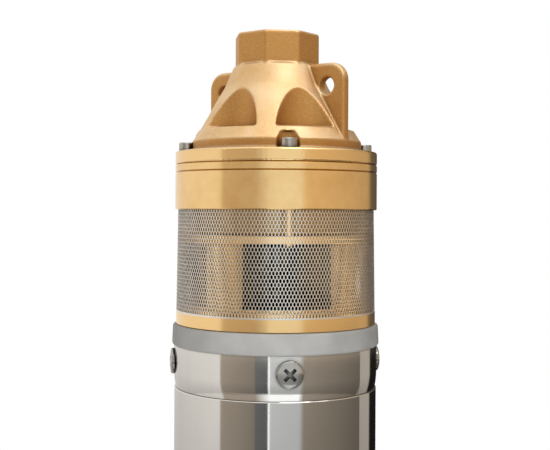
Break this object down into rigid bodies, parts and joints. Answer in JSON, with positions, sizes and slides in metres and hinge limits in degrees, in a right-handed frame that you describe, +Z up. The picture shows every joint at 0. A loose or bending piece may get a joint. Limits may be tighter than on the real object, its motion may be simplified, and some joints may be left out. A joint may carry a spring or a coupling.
{
  "type": "borehole submersible pump",
  "caption": "Slim submersible pump with an octagonal threaded outlet, two lifting ears, a brass casing, a perforated suction strainer and a long stainless motor shell.",
  "frame": {"origin": "middle of the base's foot ring, on the surface that the pump stands on", "axes": "+Z up along the shaft to the outlet, X through the two lifting ears, Y along their bores"},
  "size_m": [0.0942, 0.0933, 0.44],
  "materials": {
    "cast_brass": "sand-cast and partly turned brass, satin",
    "turned_brass": "turned brass with fine lathe lines",
    "polished_steel": "polished stainless steel",
    "sheet_steel": "perforated stainless sheet",
    "screw_steel": "bright stainless fasteners",
    "grey_casting": "satin grey turned casting",
    "bearing_steel": "ground bearing steel",
    "rubber_black": "matte black rubber",
    "ceramic_white": "lapped white ceramic",
    "carbon_black": "carbon seal ring, matte",
    "copper_wire": "varnished copper wire",
    "lamination": "stacked electrical sheet",
    "cast_aluminium": "cast aluminium"
  },
  "bodies": {
    "housing": {"discharge_head": "cast_brass", "head_screws": "screw_steel", "casing_orings": "rubber_black", "channel_plate": "turned_brass", "pump_body": "turned_brass", "suction_lantern": "cast_brass", "lantern_screws": "screw_steel", "strainer": "sheet_steel", "seal_seat": "ceramic_white", "seal_boot": "rubber_black", "motor_bracket": "grey_casting", "shell_orings": "rubber_black", "lip_seal": "rubber_black", "cable_grommet": "rubber_black", "gland_plate": "sheet_steel", "gland_screws": "screw_steel", "upper_outer_race": "bearing_steel", "motor_shell": "polished_steel", "shell_screws": "screw_steel", "stator_core": "lamination", "stator_winding": "copper_wire", "lower_outer_race": "bearing_steel", "wave_spring": "bearing_steel", "base_bracket": "grey_casting", "fill_plug": "screw_steel", "plug_washer": "copper_wire"},
    "rotor": {"shaft": "bearing_steel", "rotor_core": "lamination", "rotor_cage": "cast_aluminium", "impeller": "turned_brass", "impeller_key": "bearing_steel", "impeller_circlip": "bearing_steel", "seal_head": "screw_steel", "seal_face": "carbon_black", "seal_spring": "bearing_steel", "seal_clip": "bearing_steel", "upper_inner_race": "bearing_steel", "lower_inner_race": "bearing_steel"},
    "upper_ball_set": {"upper_balls": "bearing_steel", "upper_cage": "turned_brass"},
    "lower_ball_set": {"lower_balls": "bearing_steel", "lower_cage": "turned_brass"}
  },
  "joints": [
    {"name": "rotor_spin", "type": "hinge", "parent": "housing", "child": "rotor", "pos_m": [0, 0, 0.2], "axis": [0, 0, 1], "continuous": true},
    {"name": "upper_balls_roll", "type": "hinge", "parent": "housing", "child": "upper_ball_set", "pos_m": [0, 0, 0.2885], "axis": [0, 0, 1], "continuous": true},
    {"name": "lower_balls_roll", "type": "hinge", "parent": "housing", "child": "lower_ball_set", "pos_m": [0, 0, 0.0225], "axis": [0, 0, 1], "continuous": true}
  ],
  "couplings": [
    {"joint": "upper_balls_roll", "follows": "rotor_spin", "ratio": 0.381},
    {"joint": "lower_balls_roll", "follows": "rotor_spin", "ratio": 0.381}
  ]
}
